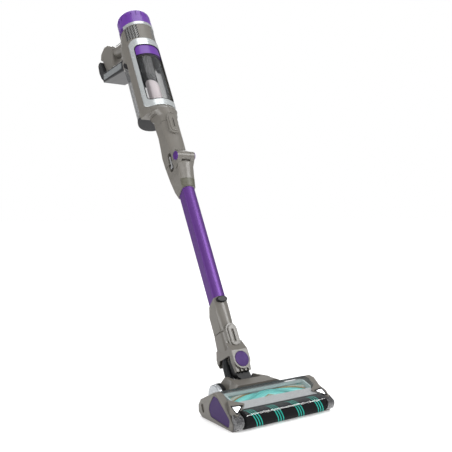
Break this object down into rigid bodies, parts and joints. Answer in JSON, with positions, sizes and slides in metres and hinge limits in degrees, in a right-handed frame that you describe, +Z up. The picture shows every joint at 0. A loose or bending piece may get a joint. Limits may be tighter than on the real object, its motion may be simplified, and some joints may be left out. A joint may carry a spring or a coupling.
{
  "type": "cordless stick vacuum cleaner",
  "caption": "Cordless stick vacuum: motorised floor head on a swivel neck, violet folding wand, clear dust bin, round motor cap and a looped handle with a slide-out battery.",
  "frame": {"origin": "on the floor, on the head's mid-plane, under the sole plate's rear land", "axes": "+X to the user's right as they push, -Y the way the head points, +Z up; the stick leans back towards +Y"},
  "size_m": [0.263, 0.9238, 1.0229],
  "materials": {
    "grey_plastic": "satin moulded plastic",
    "dark_plastic": "fine grained plastic",
    "black_plastic": "matt moulded plastic",
    "violet_plastic": "satin gloss plastic",
    "violet_tube": "anodised satin",
    "silver_plastic": "metallic silver plastic",
    "clear_plastic": "clear",
    "window_plastic": "clear, lit from inside",
    "light_plastic": "smooth",
    "deep_violet_plastic": "satin",
    "teal_plastic": "smooth, glossy",
    "pile": "dense cut pile with coloured stripes",
    "rubber_fins": "soft blades with pale bristle rows",
    "tyre_rubber": "matt",
    "hose_rubber": "ribbed",
    "belt_rubber": "toothed",
    "steel": "bright",
    "motor_metal": "plain",
    "lens": "clear lens",
    "filter_foam": "pleated",
    "pad": "textured grip"
  },
  "bodies": {
    "hand_unit": {"main_frame": "grey_plastic", "window_bezel": "silver_plastic", "bin_band": "violet_plastic", "dust_bin": "clear_plastic", "cyclone_shroud": "dark_plastic", "inlet_tower": "light_plastic", "motor_housing": "grey_plastic", "vent_grilles": "black_plastic", "motor_ring": "silver_plastic", "suction_motor": "motor_metal", "exhaust_filter": "filter_foam", "handle_frame": "grey_plastic", "grip_pad": "pad", "flex_upper_shell": "grey_plastic", "fold_pins": "steel", "flex_hose": "hose_rubber"},
    "lower_wand": {"flex_lower_shell": "grey_plastic", "wand_tube": "violet_tube", "wand_sleeve": "grey_plastic", "wand_indicator": "dark_plastic", "neck_socket": "grey_plastic", "swivel_pin": "steel", "swivel_cap": "deep_violet_plastic", "fold_caps": "violet_plastic"},
    "neck": {"tilt_yoke": "dark_plastic"},
    "head": {"head_chassis": "dark_plastic", "sole_plate": "black_plastic", "left_end_cap": "grey_plastic", "right_end_cap": "grey_plastic", "end_inserts": "deep_violet_plastic", "lamp_bezels": "dark_plastic", "lamps": "lens", "brush_window": "window_plastic", "window_trim": "dark_plastic", "roller_brackets": "dark_plastic", "neck_cover": "grey_plastic", "drive_motor": "motor_metal", "drive_belts": "belt_rubber", "wheel_axles": "steel", "tilt_pin": "steel", "suction_hose": "hose_rubber"},
    "brush_roll": {"brush_roll_core": "teal_plastic", "brush_roll_fins": "rubber_fins"},
    "front_roller": {"front_roller_core": "dark_plastic", "front_roller_pile": "pile"},
    "motor_shaft": {"motor_pulley": "steel"},
    "left_wheel": {"left_wheel_hub": "silver_plastic", "left_wheel_tyre": "tyre_rubber"},
    "right_wheel": {"right_wheel_hub": "silver_plastic", "right_wheel_tyre": "tyre_rubber"},
    "lower_button": {"lower_release_button": "grey_plastic"},
    "upper_button": {"upper_release_button": "grey_plastic"},
    "fold_hook": {"fold_latch": "steel"},
    "filter_lid": {"filter_cap": "violet_plastic"},
    "bin_lid": {"bin_door": "black_plastic"},
    "bin_slides": {"bin_latches": "black_plastic"},
    "power_trigger": {"trigger": "black_plastic"},
    "battery": {"battery_case": "dark_plastic", "battery_strips": "silver_plastic"},
    "battery_button": {"battery_latch": "black_plastic"}
  },
  "joints": [
    {"name": "wand_fold", "type": "hinge", "parent": "hand_unit", "child": "lower_wand", "pos_m": [0, 0.30815, 0.57702], "axis": [-1, 0, 0], "range_deg": [0, 160], "deforming": ["flex_hose"]},
    {"name": "neck_swivel", "type": "hinge", "parent": "lower_wand", "child": "neck", "pos_m": [0, 0.07981, 0.08312], "axis": [0, -0.8788, 0.4772], "range_deg": [-45, 45], "deforming": ["suction_hose"]},
    {"name": "head_tilt", "type": "hinge", "parent": "neck", "child": "head", "pos_m": [0, 0.0488, 0.026], "axis": [1, 0, 0], "range_deg": [-28, 48], "deforming": ["suction_hose"]},
    {"name": "brush_roll_spin", "type": "hinge", "parent": "head", "child": "brush_roll", "pos_m": [0, -0.0375, 0.025], "axis": [1, 0, 0], "continuous": true},
    {"name": "front_roller_spin", "type": "hinge", "parent": "head", "child": "front_roller", "pos_m": [0, -0.0985, 0.0185], "axis": [1, 0, 0], "continuous": true},
    {"name": "motor_spin", "type": "hinge", "parent": "head", "child": "motor_shaft", "pos_m": [0, 0.0055, 0.02], "axis": [1, 0, 0], "continuous": true},
    {"name": "left_wheel_spin", "type": "hinge", "parent": "head", "child": "left_wheel", "pos_m": [0, 0.0488, 0.026], "axis": [1, 0, 0], "continuous": true},
    {"name": "right_wheel_spin", "type": "hinge", "parent": "head", "child": "right_wheel", "pos_m": [0, 0.0488, 0.026], "axis": [1, 0, 0], "continuous": true},
    {"name": "lower_button_press", "type": "slide", "parent": "lower_wand", "child": "lower_button", "axis": [0, 0.8788, -0.4772], "range_m": [0, 0.003], "stiffness_N_per_m": 800},
    {"name": "upper_button_press", "type": "slide", "parent": "hand_unit", "child": "upper_button", "axis": [0, 0.8788, -0.4772], "range_m": [0, 0.003], "stiffness_N_per_m": 800},
    {"name": "fold_hook_turn", "type": "hinge", "parent": "hand_unit", "child": "fold_hook", "pos_m": [0, 0.34471, 0.5731], "axis": [1, 0, 0], "range_deg": [0, 5], "stiffness_Nm_per_rad": 0.3},
    {"name": "filter_lid_twist", "type": "hinge", "parent": "hand_unit", "child": "filter_lid", "pos_m": [0, 0.59439, 0.97007], "axis": [0, 0.4772, 0.8788], "range_deg": [0, 30]},
    {"name": "bin_lid_swing", "type": "hinge", "parent": "hand_unit", "child": "bin_lid", "pos_m": [0, 0.4598, 0.69495], "axis": [-1, 0, 0], "range_deg": [0, 80]},
    {"name": "bin_slide_push", "type": "slide", "parent": "hand_unit", "child": "bin_slides", "axis": [0, -0.4772, -0.8788], "range_m": [0, 0.006], "stiffness_N_per_m": 200},
    {"name": "trigger_pull", "type": "slide", "parent": "hand_unit", "child": "power_trigger", "axis": [0, -0.8788, 0.4772], "range_m": [0, 0.004], "stiffness_N_per_m": 400},
    {"name": "battery_slide", "type": "slide", "parent": "hand_unit", "child": "battery", "axis": [0, 0.9969, -0.0785], "range_m": [0, 0.15]},
    {"name": "battery_button_press", "type": "slide", "parent": "battery", "child": "battery_button", "axis": [0, -0.8788, 0.4772], "range_m": [0, 0.002], "stiffness_N_per_m": 800}
  ],
  "couplings": [
    {"joint": "front_roller_spin", "follows": "brush_roll_spin", "ratio": 0.66667},
    {"joint": "motor_spin", "follows": "brush_roll_spin", "ratio": 2}
  ]
}
